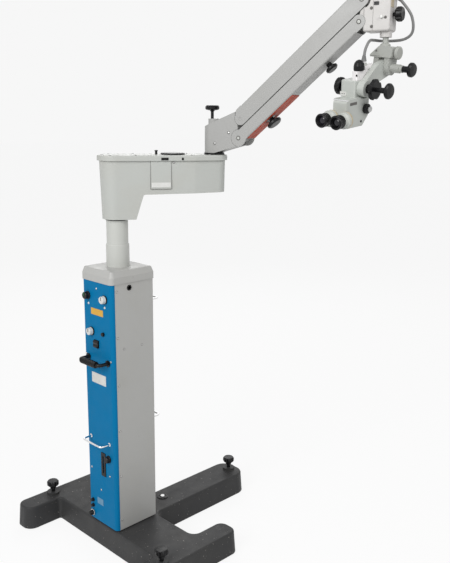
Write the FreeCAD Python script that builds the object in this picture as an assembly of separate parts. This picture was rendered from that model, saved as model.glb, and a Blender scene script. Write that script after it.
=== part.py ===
import FreeCAD, Part
import math
import os

V = FreeCAD.Vector
os.makedirs("parts", exist_ok=True)

# Millimetres. Z is up, the origin is on the floor on the axis of the lift tube,
# the blue control panel faces -Y and the long rear leg of the base runs along +Y.

# Fits that the whole stand shares
RUN = 0.05          # radial clearance of a shaft in its bore
AIR = 0.4           # air between bodies that pass each other
WALL = 4.0          # sheet and casting wall of the covers

# Base casting
BAR_OUT, BAR_IN = 350.0, 270.0
BAR_FRONT, BAR_REAR = -226.0, 223.0
CROSS_HALF = 90.0
LEG_X, LEG_HALF, LEG_END = 6.0, 61.0, 562.0
CASTING_RIM, CASTING_TOP = 6.0, 86.0
CASTING_DRAFT = 6.0
CASTING_WALL = 9.0
PLINTH_TOP = 92.0

# Castors and floor locks: one of each in both side bars and in the rear leg
CASTOR_SPOTS = {"left": (-310.0, -170.0), "right": (310.0, -170.0), "rear": (LEG_X, 440.0)}
LOCK_SPOTS = {"left": (-316.0, -92.0), "right": (316.0, -92.0), "rear": (LEG_X, 526.0)}
WHEEL_RADIUS, WHEEL_WIDTH, WHEEL_LIFT = 20.0, 14.0, 0.6
CASTOR_TRAIL, CASTOR_STEM, AXLE_RADIUS = 6.0, 5.0, 3.0
LOCK_STEM, LOCK_PAD, LOCK_BOSS = 7.0, 13.0, 23.0
LOCK_KNOB, LOCK_KNOB_TOP = 22.0, 137.0

# Column
COLUMN_HALF = 80.0
COLUMN_FRONT, COLUMN_REAR = -90.0, 84.0
COLUMN_TOP, CAP_TOP, COLLAR_TOP = 958.0, 1000.0, 1075.0
PANEL_SHEET, PANEL_CORNER, CASING_SHEET = 3.0, 13.0, 2.5
MAST_OUT, MAST_BORE = 45.0, 40.0
TUBE_RADIUS, COLLAR_RADIUS = 35.5, 38.25
TUBE_BOTTOM, TUBE_TOP = 560.0, 1300.0
GAS_OUT, GAS_BORE, GAS_ROD = 20.0, 17.0, 7.0

# First arm, in its own frame: X along the arm from the column, turned about Z
ARM_TURN, ARM_LENGTH = 57.0, 323.0
ARM_BOTTOM, ARM_FLOOR, ARM_RIM, ARM_TOP = 1158.0, 1240.0, 1346.0, 1363.0
ARM_HALF, ARM_NOSE, ARM_LIP = 53.0, 34.0, 7.0
ARM_HEEL, ARM_CROTCH = 59.0, 84.0    # where the deep end stops, at its foot and at the arm's floor

# Spring arm, in a frame on the elbow axis: X along the arm, Z the height over the floor
SPRING_TURN = 15.0
ARM_SIDE = 31.0                      # half the width of every cover
LOWER_PIVOT, UPPER_STEP = (107.0, ARM_TOP + 56.0), (6.0, 60.0)
LINK_LENGTH, LINK_RISE = 509.0, 40.87
PIN_RADIUS, TONGUE_HALF = 6.0, 14.5
LOWER_END, LOWER_HEAD_END, UPPER_END = 26.0, 19.0, 20.0
UPPER_TIP = 26.0                     # farthest that the upper link reaches past its front pin
LOWER_DOWN, LOWER_UP, UPPER_DOWN, UPPER_UP = 19.0, 18.5, 20.0, 30.5

# Head and the pin that the microscope hangs from
# The head hangs on the far pins of the links, and is laid out in whole millimetres from the lower one
FAR_REACH = round(LOWER_PIVOT[0] + LINK_LENGTH * math.cos(math.radians(LINK_RISE)))
FAR_PIN = round(LOWER_PIVOT[1] + LINK_LENGTH * math.sin(math.radians(LINK_RISE)))
HEAD_LEFT, HEAD_RIGHT = FAR_REACH + 12.0, FAR_REACH + 90.0
HEAD_BOTTOM, HEAD_TOP = FAR_PIN - 28.0, FAR_PIN + 94.0
HEAD_KNOB_Z = FAR_PIN + 18.0
HANG_REACH, HANG_PIN = HEAD_RIGHT - 19.0, 8.5
GLAND_Z, HEAD_KNOB_RADIUS = HEAD_TOP - 26.0, 20.5

# Microscope, in a frame on its tilt axis: X to the right, Y away from the eyes
TILT_HEIGHT = HEAD_BOTTOM - 97.0
SCOPE_ROLL, SCOPE_PITCH = 6.2, 9.0
SHAFT_Y, SHAFT_Z, SHAFT_RADIUS = -93.0, -46.5, 6.0
EYE_MIDDLE, EYE_HALF, EYE_Z = -21.0, 25.0, -121.5
EYE_TUBE = 24.0
CARRIER_LEFT, CARRIER_RIGHT = -9.0, 9.0

# Light cable
CABLE_RADIUS = 4.0


def block(x0, x1, y0, y1, z0, z1):
    return Part.makeBox(x1 - x0, y1 - y0, z1 - z0, V(x0, y0, z0))


def rod(start, end, radius):
    way = V(*end) - V(*start)
    return Part.makeCylinder(radius, way.Length, V(*start), way)


def upright(x, y, z0, z1, radius):
    return rod((x, y, z0), (x, y, z1), radius)


def turned(profile, origin, axis):
    """Solid of revolution. The profile is (radius, distance along the axis)."""
    points = [V(r, 0, h) for r, h in profile]
    solid = Part.Face(Part.makePolygon(points + points[:1])).revolve(V(0, 0, 0), V(0, 0, 1), 360)
    solid.Placement = FreeCAD.Placement(V(*origin), FreeCAD.Rotation(V(0, 0, 1), V(*axis)))
    return solid


def unit(ax, ay, bx, by):
    size = math.hypot(bx - ax, by - ay)
    return (bx - ax) / size, (by - ay) / size


def outline(corners, level=0.0):
    """Closed wire through (x, y, corner radius), each corner rounded by a tangent arc."""
    arcs = []
    for i, (x, y, radius) in enumerate(corners):
        px, py = unit(x, y, *corners[i - 1][:2])
        nx, ny = unit(x, y, *corners[(i + 1) % len(corners)][:2])
        if radius <= 0:
            arcs.append((V(x, y, level), None, V(x, y, level)))
            continue
        half = math.acos(max(-1.0, min(1.0, px * nx + py * ny))) / 2
        back = radius / math.tan(half)
        mx, my = px + nx, py + ny
        size = math.hypot(mx, my)
        depth = radius / math.sin(half) - radius
        arcs.append((V(x + px * back, y + py * back, level),
                     V(x + mx / size * depth, y + my / size * depth, level),
                     V(x + nx * back, y + ny * back, level)))
    edges = []
    for i, (first, middle, last) in enumerate(arcs):
        if middle is not None:
            edges.append(Part.Arc(first, middle, last).toShape())
        following = arcs[(i + 1) % len(arcs)][0]
        if (following - last).Length > 1e-6:
            edges.append(Part.makeLine(last, following))
    return Part.Wire(edges)


def grown(corners, distance):
    """The same corners, moved outwards by a distance. They run anticlockwise."""
    moved = []
    for i, (x, y, radius) in enumerate(corners):
        ax, ay = unit(*corners[i - 1][:2], x, y)
        bx, by = unit(x, y, *corners[(i + 1) % len(corners)][:2])
        n1, n2 = (ay, -ax), (by, -bx)
        share = distance / (1 + n1[0] * n2[0] + n1[1] * n2[1])
        outer = ax * by - ay * bx > 0
        new_radius = radius + (distance if outer else -distance)
        moved.append((x + (n1[0] + n2[0]) * share, y + (n1[1] + n2[1]) * share,
                      max(new_radius, 1.0) if radius > 0 else 0.0))
    return moved


def prism(corners, z0, z1):
    return Part.Face(outline(corners, z0)).extrude(V(0, 0, z1 - z0))


def drafted(low_corners, z0, high_corners, z1):
    return Part.makeLoft([outline(low_corners, z0), outline(high_corners, z1)], True, True)


def side_slab(corners, y0, y1):
    """Plate in the XZ plane from (x, z, corner radius), between two values of Y."""
    wire = outline(corners)
    wire.rotate(V(0, 0, 0), V(1, 0, 0), 90)
    wire.translate(V(0, y0, 0))
    return Part.Face(wire).extrude(V(0, y1 - y0, 0))


def cross_slab(corners, x0, x1):
    """Plate in the YZ plane from (y, z, corner radius), between two values of X."""
    solid = prism(corners, x0, x1)
    solid.rotate(V(0, 0, 0), V(1, 1, 1), 120)
    return solid


def softened(shape, radius, wanted):
    """Rounds the edges that the test picks."""
    return shape.makeFillet(radius, [e for e in shape.Edges if wanted(e)])


def flat_at(level):
    return lambda e: abs(e.BoundBox.ZMin - level) < 1e-4 and abs(e.BoundBox.ZMax - level) < 1e-4


def star_knob(origin, axis, radius, thickness, lobes=8, notch_radius=None):
    """Clamping knob with rounded lobes, thickness measured along its axis."""
    body = turned([(0, 0), (radius * 0.8, 0), (radius, thickness * 0.25), (radius, thickness * 0.75),
                   (radius * 0.82, thickness), (0, thickness)], (0, 0, 0), (0, 0, 1))
    notch_radius = notch_radius or radius * 1.6 / lobes
    for i in range(lobes):
        turn = 2 * math.pi * i / lobes
        reach = radius + notch_radius * 0.45
        body = body.cut(upright(reach * math.cos(turn), reach * math.sin(turn), -1, thickness + 1, notch_radius))
    body.Placement = FreeCAD.Placement(V(*origin), FreeCAD.Rotation(V(0, 0, 1), V(*axis)))
    return body


def bent_wire(points, bend, radius):
    """Round bar along straight runs. The bend is one radius, or a list with one for each inner point."""
    pts = [V(*p) for p in points]
    edges, here = [], pts[0]
    for i in range(1, len(pts) - 1):
        back = (pts[i - 1] - pts[i]).normalize()
        ahead = (pts[i + 1] - pts[i]).normalize()
        size = bend[i - 1] if isinstance(bend, list) else bend
        half = back.getAngle(ahead) / 2
        cut = size / math.tan(half)
        first, last = pts[i] + back * cut, pts[i] + ahead * cut
        inward = (back + ahead).normalize()
        middle = pts[i] + inward * (size / math.sin(half) - size)
        edges += [Part.makeLine(here, first), Part.Arc(first, middle, last).toShape()]
        here = last
    edges.append(Part.makeLine(here, pts[-1]))
    path = Part.Wire(edges)
    ring = Part.Wire(Part.makeCircle(radius, pts[0], pts[1] - pts[0]))
    return path.makePipeShell([ring], True, False, 2)


def save(name, *solids):
    shape = solids[0] if len(solids) == 1 else Part.makeCompound(list(solids))
    shape.exportStep("parts/" + name + ".step")


# Base


def casting_corners():
    left, right = LEG_X - LEG_HALF, LEG_X + LEG_HALF
    return [(-BAR_OUT, BAR_FRONT, 30), (-BAR_IN, BAR_FRONT, 30), (-BAR_IN, -CROSS_HALF, 14),
            (BAR_IN, -CROSS_HALF, 14), (BAR_IN, BAR_FRONT, 30), (BAR_OUT, BAR_FRONT, 30),
            (BAR_OUT, BAR_REAR, 30), (BAR_IN, BAR_REAR, 30), (BAR_IN, CROSS_HALF, 32),
            (right, CROSS_HALF, 32), (right, LEG_END, 48), (left, LEG_END, 48),
            (left, CROSS_HALF, 32), (-BAR_IN, CROSS_HALF, 32), (-BAR_IN, BAR_REAR, 30),
            (-BAR_OUT, BAR_REAR, 30)]


def base_casting():
    top = casting_corners()
    shell = drafted(grown(top, CASTING_DRAFT), CASTING_RIM, top, CASTING_TOP)
    shell = softened(shell, 7, flat_at(CASTING_TOP))
    ceiling = CASTING_TOP - 12
    hollow = drafted(grown(top, CASTING_DRAFT - CASTING_WALL), CASTING_RIM, grown(top, -CASTING_WALL), ceiling)
    shell = shell.cut(hollow)
    plinth = prism([(-74, -84, 10), (74, -84, 10), (74, 78, 10), (-74, 78, 10)], CASTING_TOP - 1, PLINTH_TOP)
    shell = shell.fuse(plinth)
    for x, y in CASTOR_SPOTS.values():
        shell = shell.fuse(upright(x, y, ceiling - 12, ceiling + 1, 20))
        shell = shell.cut(upright(x, y, ceiling - 13, ceiling - 1.5, CASTOR_STEM + RUN))
    for x, y in LOCK_SPOTS.values():
        shell = shell.fuse(upright(x, y, ceiling - 14, CASTING_TOP + 8, LOCK_BOSS))
        shell = shell.cut(upright(x, y, ceiling - 15, CASTING_TOP + 9, LOCK_STEM + RUN))
    for x in (-150, 150):
        shell = shell.fuse(block(x - 4, x + 4, -CROSS_HALF, CROSS_HALF, ceiling - 30, ceiling + 1))
    return shell.removeSplitter()


def castor_fork(x, y):
    pad = CASTING_TOP - 24 - AIR
    axle_z = WHEEL_RADIUS + WHEEL_LIFT
    cheek = WHEEL_WIDTH / 2 + 0.5
    fork = upright(x, y, pad - 6, pad, 18)
    fork = fork.fuse(upright(x, y, pad - 1, CASTING_TOP - 14, CASTOR_STEM))
    for side in (-1, 1):
        near, far = sorted((side * cheek, side * (cheek + 3)))
        plate = side_slab([(x - 15, pad - 6, 0), (x - CASTOR_TRAIL - 8, axle_z, 6),
                           (x - CASTOR_TRAIL, axle_z - 9, 6), (x - CASTOR_TRAIL + 9, axle_z, 6),
                           (x + 12, pad - 6, 0)], y + near, y + far)
        fork = fork.fuse(plate)
    axle = rod((x - CASTOR_TRAIL, y - cheek - 3, axle_z), (x - CASTOR_TRAIL, y + cheek + 3, axle_z), AXLE_RADIUS)
    return fork.fuse(axle).removeSplitter()


def castor_wheel(x, y):
    half = WHEEL_WIDTH / 2
    bore = AXLE_RADIUS + RUN
    return turned([(bore, -half), (10, -half), (10, -half + 2), (WHEEL_RADIUS - 4, -half + 2),
                   (WHEEL_RADIUS - 3, -half), (WHEEL_RADIUS - 1, -half), (WHEEL_RADIUS, -half + 2),
                   (WHEEL_RADIUS, half - 2), (WHEEL_RADIUS - 1, half), (WHEEL_RADIUS - 3, half),
                   (WHEEL_RADIUS - 4, half - 2), (10, half - 2), (10, half), (bore, half)],
                  (x - CASTOR_TRAIL, y, WHEEL_RADIUS + WHEEL_LIFT), (0, 1, 0))


def lock_screw(x, y):
    screw = turned([(0, 0), (LOCK_PAD - 1, 0), (LOCK_PAD, 1), (LOCK_PAD, 7), (9, 11), (LOCK_STEM, 11),
                    (LOCK_STEM, LOCK_KNOB_TOP - 30), (11, LOCK_KNOB_TOP - 30), (11, LOCK_KNOB_TOP - 19),
                    (0, LOCK_KNOB_TOP - 19)], (x, y, 0), (0, 0, 1))
    return screw.fuse(star_knob((x, y, LOCK_KNOB_TOP - 20), (0, 0, 1), LOCK_KNOB, 20, 6))


# Column


def column_mast():
    mast = upright(0, 0, PLINTH_TOP, COLUMN_TOP, MAST_OUT)
    foot = prism([(-62, -62, 8), (62, -62, 8), (62, 62, 8), (-62, 62, 8)], PLINTH_TOP, PLINTH_TOP + 12)
    mast = mast.fuse(foot).cut(upright(0, 0, PLINTH_TOP + 12, COLUMN_TOP + 1, MAST_BORE))
    for x in (-50, 50):
        for y in (-50, 50):
            mast = mast.cut(upright(x, y, PLINTH_TOP - 1, PLINTH_TOP + 13, 5.5))
    return mast


def column_casing():
    """Three-sided sheet cover with flanges that the front panel closes."""
    front = COLUMN_FRONT + PANEL_CORNER + 1
    outer = [(-COLUMN_HALF, front, 0), (COLUMN_HALF, front, 0), (COLUMN_HALF, COLUMN_REAR, 6),
             (-COLUMN_HALF, COLUMN_REAR, 6)]
    skin = prism(outer, PLINTH_TOP, COLUMN_TOP)
    inside = COLUMN_HALF - CASING_SHEET
    skin = skin.cut(prism([(-inside, front - 1, 0), (inside, front - 1, 0), (inside, COLUMN_REAR - CASING_SHEET, 3.5),
                           (-inside, COLUMN_REAR - CASING_SHEET, 3.5)], PLINTH_TOP - 1, COLUMN_TOP + 1))
    return skin.cut(rod((COLUMN_HALF - 5, -18, 941), (COLUMN_HALF + 1, -18, 941), 8))


PANEL_KNOBS = {"panel_knob_left": (-48, 906), "panel_knob_right": (44, 906), "panel_knob_middle": (-32, 786)}
PANEL_KNOB_RADIUS, PANEL_SHAFT = 14.0, 4.0
LIFT_KNOB_SPOT, LIFT_KNOB_RADIUS = (43, 349), 13.0
BUTTON_SPOT, BUTTON_RADIUS = (32, 787), 6.5
ROCKER_SPOT, ROCKER_HALF = (-7, 746), 13.0
SLOT_MIDDLE, SLOT_FOOT, SLOT_HEAD = 13, 284, 354
INLET_SPOT, INLET_RADIUS = (-58, 112), 11.0


def front_panel():
    front, corner = COLUMN_FRONT, PANEL_CORNER
    back = front + corner + 0.6
    outer = [(-COLUMN_HALF, front, corner), (COLUMN_HALF, front, corner), (COLUMN_HALF, back, 0), (-COLUMN_HALF, back, 0)]
    inside = COLUMN_HALF - PANEL_SHEET
    inner = [(-inside, front + PANEL_SHEET, corner - PANEL_SHEET), (inside, front + PANEL_SHEET, corner - PANEL_SHEET),
             (inside, back + 1, 0), (-inside, back + 1, 0)]
    panel = prism(outer, PLINTH_TOP, COLUMN_TOP).cut(prism(inner, PLINTH_TOP - 1, COLUMN_TOP + 1))
    for side in (-1, 1):
        near, far = sorted((side * (inside - 0.5), side * (inside - 3)))
        panel = panel.fuse(block(near, far, back - 8, back + 14, PLINTH_TOP + 10, COLUMN_TOP - 10))
        near, far = sorted((side * (inside - 2), side * (inside + 0.5)))
        panel = panel.fuse(block(near, far, back - 8, back - 4, PLINTH_TOP + 10, COLUMN_TOP - 10))
    for x, z in PANEL_KNOBS.values():
        panel = panel.cut(rod((x, front - 1, z), (x, front + 5, z), PANEL_SHAFT + RUN))
    x, z = LIFT_KNOB_SPOT
    panel = panel.cut(rod((x, front - 1, z), (x, front + 5, z), PANEL_SHAFT + RUN))
    x, z = BUTTON_SPOT
    panel = panel.cut(rod((x, front - 1, z), (x, front + 5, z), BUTTON_RADIUS + 0.3))
    x, z = ROCKER_SPOT
    half = ROCKER_HALF + 0.5
    panel = panel.cut(block(x - half, x + half, front - 1, front + 5, z - half, z + half))
    panel = panel.cut(block(SLOT_MIDDLE - 4, SLOT_MIDDLE + 4, front - 1, front + 5, SLOT_FOOT, SLOT_HEAD))
    x, z = INLET_SPOT
    return panel.cut(rod((x, front - 1, z), (x, front + 5, z), INLET_RADIUS - 3)).removeSplitter()


def panel_knob(x, z, radius=PANEL_KNOB_RADIUS, proud=16.0):
    face = COLUMN_FRONT - AIR
    knob = turned([(0, 0), (radius, 0), (radius, 3), (radius - 1.5, 5), (radius - 2, proud - 1.5),
                   (radius - 3.5, proud), (0, proud)], (x, face, z), (0, -1, 0))
    return knob.fuse(rod((x, face - 1, z), (x, COLUMN_FRONT + 14, z), PANEL_SHAFT))


def push_button():
    x, z = BUTTON_SPOT
    cap = rod((x, COLUMN_FRONT - 7, z), (x, COLUMN_FRONT + 12, z), BUTTON_RADIUS)
    return cap.makeFillet(1.5, [e for e in cap.Edges if abs(e.BoundBox.YMax - COLUMN_FRONT + 7) < 1e-3])


def rocker_switch():
    x, z = ROCKER_SPOT
    half = ROCKER_HALF
    pivot = COLUMN_FRONT + 2
    points = [(-9, 5), (-6.75, -1), (-9, -8), (-7.5, -12.4), (4.5, -12.4), (4.5, 12.4), (-5.6, 12.4)]
    plate = cross_slab([(pivot + y, z + h, 0) for y, h in points], x - half, x + half)
    return plate.fuse(rod((x - half - 0.35, pivot, z), (x + half + 0.35, pivot, z), 3)).removeSplitter()


def slot_plate():
    """Narrow cover plate around the vertical slot of the front panel."""
    front = COLUMN_FRONT
    plate = block(SLOT_MIDDLE - 12, SLOT_MIDDLE + 12, front - 2.5, front, SLOT_FOOT - 8, SLOT_HEAD + 8)
    plate = plate.makeFillet(2, [e for e in plate.Edges if e.BoundBox.YLength > 1])
    return plate.cut(block(SLOT_MIDDLE - 3, SLOT_MIDDLE + 3, front - 3, front + 1, SLOT_FOOT + 4, SLOT_HEAD - 4))


def upper_handle():
    front = COLUMN_FRONT
    bar = bent_wire([(-54, front, 692), (-54, front - 38, 692), (54, front - 38, 692), (54, front, 692)], 12, 6)
    grip = rod((-40, front - 38, 692), (40, front - 38, 692), 10.5)
    feet = [rod((x, front, 692), (x, front - 4, 692), 11) for x in (-54, 54)]
    return bar.fuse(grip).fuse(feet[0]).fuse(feet[1]).removeSplitter()


def wire_handles():
    """Lower handle on the front and the two hooks for a wound lead on the rear."""
    made = []
    for half, wall, way, z in ((52, COLUMN_FRONT, -1, 406), (60, COLUMN_REAR, 1, 880), (60, COLUMN_REAR, 1, 456)):
        tip = wall + way * 38
        loop = bent_wire([(-half, wall, z), (-half, tip, z), (half, tip, z), (half, wall, z)], 12, 3.5)
        for x in (-half, half):
            loop = loop.fuse(rod((x, wall, z), (x, wall + way * 3, z), 6.5))
        made.append(loop.removeSplitter())
    return made


def mains_inlet():
    x, z = INLET_SPOT
    front = COLUMN_FRONT
    return turned([(0, -16), (INLET_RADIUS - 3, -16), (INLET_RADIUS - 3, 0), (INLET_RADIUS, 0),
                   (INLET_RADIUS, 3), (INLET_RADIUS - 2, 3), (INLET_RADIUS - 2, 8), (INLET_RADIUS - 4, 15),
                   (4, 17), (0, 17)], (x, front, z), (0, -1, 0))


def column_cap():
    low = [(-COLUMN_HALF - 3, COLUMN_FRONT - 3, 15), (COLUMN_HALF + 3, COLUMN_FRONT - 3, 15),
           (COLUMN_HALF + 3, COLUMN_REAR + 3, 10), (-COLUMN_HALF - 3, COLUMN_REAR + 3, 10)]
    mid = COLUMN_TOP + 22
    cap = prism(low, COLUMN_TOP, mid)
    cap = cap.fuse(drafted(low, mid, grown(low, -8), CAP_TOP))
    cap = softened(cap.removeSplitter(), 6, flat_at(CAP_TOP))
    return cap.cut(upright(0, 0, COLUMN_TOP - 1, CAP_TOP + 1, COLLAR_RADIUS))


def guide_collar():
    """Long bush: its lower part sits in the mast, its upper part stands out of the cap."""
    bore = TUBE_RADIUS + RUN
    relief = bore + 0.8
    return turned([(bore, COLUMN_TOP - 60), (MAST_BORE, COLUMN_TOP - 60), (MAST_BORE, COLUMN_TOP),
                   (COLLAR_RADIUS, COLUMN_TOP), (COLLAR_RADIUS, COLLAR_TOP - 3), (COLLAR_RADIUS - 2, COLLAR_TOP),
                   (bore, COLLAR_TOP), (bore, COLLAR_TOP - 30), (relief, COLLAR_TOP - 32),
                   (relief, COLUMN_TOP - 28), (bore, COLUMN_TOP - 30)], (0, 0, 0), (0, 0, 1))


def gas_spring_cylinder():
    foot = PLINTH_TOP + 12
    return turned([(0, foot), (GAS_OUT, foot), (GAS_OUT, 500), (GAS_ROD + RUN, 500), (GAS_ROD + RUN, 488),
                   (GAS_BORE, 488), (GAS_BORE, foot + 8), (0, foot + 8)], (0, 0, 0), (0, 0, 1))


def gas_spring_rod():
    piston = GAS_BORE - RUN
    return turned([(0, 190), (piston, 190), (piston, 205), (GAS_ROD, 205), (GAS_ROD, TUBE_BOTTOM), (0, TUBE_BOTTOM)],
                  (0, 0, 0), (0, 0, 1))


def power_unit():
    """Transformer block on the mast, behind the controls."""
    back = -MAST_OUT
    core = block(-38, 38, -78, back - 3, 480, 560)
    for x in (-34, 34):
        core = core.fuse(block(x - 8, x + 8, back - 4, back + 8, 470, 570))
    return core.cut(upright(0, 0, 400, 600, MAST_OUT))


def lift_tube():
    bore = TUBE_RADIUS - 4
    slide = MAST_BORE - RUN
    return turned([(0, TUBE_BOTTOM), (slide, TUBE_BOTTOM), (slide, TUBE_BOTTOM + 40), (TUBE_RADIUS, TUBE_BOTTOM + 40),
                   (TUBE_RADIUS, TUBE_TOP), (bore, TUBE_TOP), (bore, TUBE_BOTTOM + 12), (0, TUBE_BOTTOM + 12)],
                  (0, 0, 0), (0, 0, 1))


# First arm


def arm_corners(half, nose):
    """Plan of the arm: a round end on the column, straight sides and a narrower round nose."""
    start = ARM_LENGTH - 73
    tip = ARM_LENGTH + nose
    return [(-half, -half, half * 0.98), (start, -half, 40), (tip, -nose, nose * 0.9),
            (tip, nose, nose * 0.9), (start, half, 40), (-half, half, half * 0.98)]


def first_arm():
    low, high = arm_corners(ARM_HALF - 6, ARM_NOSE - 3), arm_corners(ARM_HALF, ARM_NOSE)
    body = drafted(low, ARM_BOTTOM, high, ARM_RIM)
    under = side_slab([(ARM_HEEL, ARM_BOTTOM - 20, 0), (450, ARM_BOTTOM - 20, 0), (450, ARM_FLOOR + 3, 0),
                       (ARM_CROTCH, ARM_FLOOR - 2, 7), (ARM_HEEL, ARM_BOTTOM, 8)], -80, 80)
    body = body.cut(under)
    hollow = drafted(grown(low, -WALL), ARM_BOTTOM, grown(high, -WALL), ARM_RIM + 1)
    roof = side_slab([(-80, ARM_BOTTOM - 1, 0), (ARM_HEEL - WALL, ARM_BOTTOM - 1, 0),
                      (ARM_HEEL - WALL, ARM_BOTTOM + 16, 0), (ARM_CROTCH - WALL, ARM_FLOOR + 5, 0),
                      (450, ARM_FLOOR + 9, 0), (450, ARM_RIM + 2, 0), (-80, ARM_RIM + 2, 0)],
                     -80, 80).cut(block(-80, 80, -80, 80, ARM_BOTTOM - 2, ARM_BOTTOM + 8))
    body = body.cut(hollow.common(roof))
    body = body.fuse(upright(0, 0, ARM_BOTTOM + 2, ARM_RIM - 20, TUBE_RADIUS + 6))
    body = body.cut(upright(0, 0, ARM_BOTTOM - 1, TUBE_TOP + AIR, TUBE_RADIUS + RUN))
    body = body.cut(upright(0, 0, TUBE_TOP - 1, ARM_RIM + 1, TUBE_RADIUS - 8))
    body = body.fuse(upright(ARM_LENGTH, 0, ARM_FLOOR + 2, ARM_RIM, 24))
    body = body.cut(upright(ARM_LENGTH, 0, ARM_FLOOR + 12, ARM_RIM + 1, 15 + RUN))
    return body.removeSplitter()


def first_arm_lid():
    rim = arm_corners(ARM_HALF + ARM_LIP, ARM_NOSE + ARM_LIP)
    lid = softened(prism(rim, ARM_RIM, ARM_TOP), 5, flat_at(ARM_TOP))
    lid = lid.cut(prism(grown(rim, -ARM_LIP - WALL - 2), ARM_RIM - 1, ARM_TOP - 5))
    lid = lid.fuse(upright(ARM_LENGTH, 0, ARM_RIM, ARM_TOP, 24))
    return lid.cut(upright(ARM_LENGTH, 0, ARM_RIM - 1, ARM_TOP + 1, 16)).removeSplitter()


def lid_cap():
    """Flat black cap on the lid, with the small peg beside it."""
    middle = 185
    cap = turned([(0, 0), (40, 0), (40, 3.5), (38, 5.5), (0, 5.5)], (middle, 0, ARM_TOP), (0, 0, 1))
    peg = turned([(0, 0), (4, 0), (4, 10), (5.5, 11), (5.5, 14), (0, 15)], (131, 0, ARM_TOP), (0, 0, 1))
    return cap, peg


def elbow_bearing():
    return turned([(16, ARM_TOP), (33.5, ARM_TOP), (33.5, ARM_TOP + 5.6), (16, ARM_TOP + 5.6)],
                  (ARM_LENGTH, 0, 0), (0, 0, 1))


# Spring arm: elbow bracket, two links and the head, all drawn in the plane of the arm

RISE = math.radians(LINK_RISE)
LINK_WAY = (math.cos(RISE), math.sin(RISE))
UPPER_PIVOT = (LOWER_PIVOT[0] + UPPER_STEP[0], LOWER_PIVOT[1] + UPPER_STEP[1])
LOWER_FAR = (LOWER_PIVOT[0] + LINK_LENGTH * LINK_WAY[0], LOWER_PIVOT[1] + LINK_LENGTH * LINK_WAY[1])
UPPER_FAR = (LOWER_FAR[0] + UPPER_STEP[0], LOWER_FAR[1] + UPPER_STEP[1])


ELBOW_KNOB_Z = LOWER_PIVOT[1] + 59.0


def across(spot, radius, y0, y1):
    return rod((spot[0], y0, spot[1]), (spot[0], y1, spot[1]), radius)


def cleared(body, spot, radius):
    """Cuts the room that a link end turns in, on both sides of the middle tongue."""
    for y0, y1 in ((TONGUE_HALF, ARM_SIDE + 1), (-ARM_SIDE - 1, -TONGUE_HALF)):
        body = body.cut(across(spot, radius + 0.8, y0, y1))
    return body


UPPER_REAR = [(-17, 8, 0), (0, -UPPER_DOWN - 1, 0), (60, -UPPER_DOWN - 1, 0), (60, UPPER_UP + 1, 0),
              (3, UPPER_UP + 1, 0)]
LIFT_UP = 3.0                        # degrees past the rest pose that the links need room for


def link_room(corners, spot, angles):
    """What a link end, drawn from its own pivot, takes up at each of the angles."""
    rooms = []
    for angle in angles:
        room = side_slab(corners, -ARM_SIDE - 1, ARM_SIDE + 1)
        room.rotate(V(0, 0, 0), V(0, 1, 0), -LINK_RISE - angle)
        room.translate(V(spot[0], 0, spot[1]))
        rooms.append(room)
    return rooms


def elbow_bracket():
    foot = ARM_TOP + 6
    ax, az = LOWER_PIVOT
    cx, cz = UPPER_PIVOT
    body = side_slab([(-45, foot, 0), (17, foot, 6), (51, foot + 10, 12), (ax - 3, az - 25, 0), (ax - 3, az + 33, 0),
                      (ax - 11, cz + 22, 3), (-13, az + 38, 22), (-45, az + 27, 0)], -ARM_SIDE, ARM_SIDE)
    plan = [(-ARM_SIDE, -ARM_SIDE, ARM_SIDE * 0.98), (200, -ARM_SIDE, 0), (200, ARM_SIDE, 0),
            (-ARM_SIDE, ARM_SIDE, ARM_SIDE * 0.98)]
    body = body.common(prism(plan, foot - 1, cz + 121))
    body = cleared(cleared(body, LOWER_PIVOT, LOWER_END), UPPER_PIVOT, UPPER_END)
    tongues = side_slab([(50, az - 24, 0), (ax, az - 13, 0), (ax, az + 13, 0), (50, az + 21, 0)],
                        -TONGUE_HALF, TONGUE_HALF)
    tongues = tongues.fuse(side_slab([(60, cz - 24, 0), (cx, cz - 12, 0), (cx, cz + 12, 0), (80, cz + 13, 0)],
                                     -TONGUE_HALF, TONGUE_HALF))
    body = body.cut(across(LOWER_PIVOT, LOWER_END + 0.8, -TONGUE_HALF - 1, TONGUE_HALF + 1))
    body = body.cut(across(UPPER_PIVOT, UPPER_END + 0.8, -TONGUE_HALF - 1, TONGUE_HALF + 1))
    body = body.cut(link_room(UPPER_REAR, UPPER_PIVOT, (0, LIFT_UP)))
    body = body.fuse(tongues)
    for spot, radius in ((LOWER_PIVOT, 13), (UPPER_PIVOT, 12)):
        body = body.fuse(across(spot, radius, -TONGUE_HALF, TONGUE_HALF))
        body = body.fuse(across(spot, PIN_RADIUS, -ARM_SIDE + 1, ARM_SIDE - 1))
    body = body.fuse(upright(-3, 0, az + 21, ELBOW_KNOB_Z, 17))
    body = body.fuse(upright(0, 0, ARM_FLOOR + 14, foot + 1, 15))
    body = body.cut(upright(-8, 0, az + 33, ELBOW_KNOB_Z + 2, 5 + RUN))
    return body.removeSplitter()


def elbow_knob():
    return turned([(0, -24), (5, -24), (5, 22), (9, 26), (20, 28), (23, 31), (23, 38), (20, 42), (0, 43)],
                  (-8, 0, ELBOW_KNOB_Z), (0, 0, 1))


def link_placed(shape, spot):
    """Moves a link, drawn along X from its own pivot, to its rise and its pivot."""
    shape.rotate(V(0, 0, 0), V(0, 1, 0), -LINK_RISE)
    shape.translate(V(spot[0], 0, spot[1]))
    return shape


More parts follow.
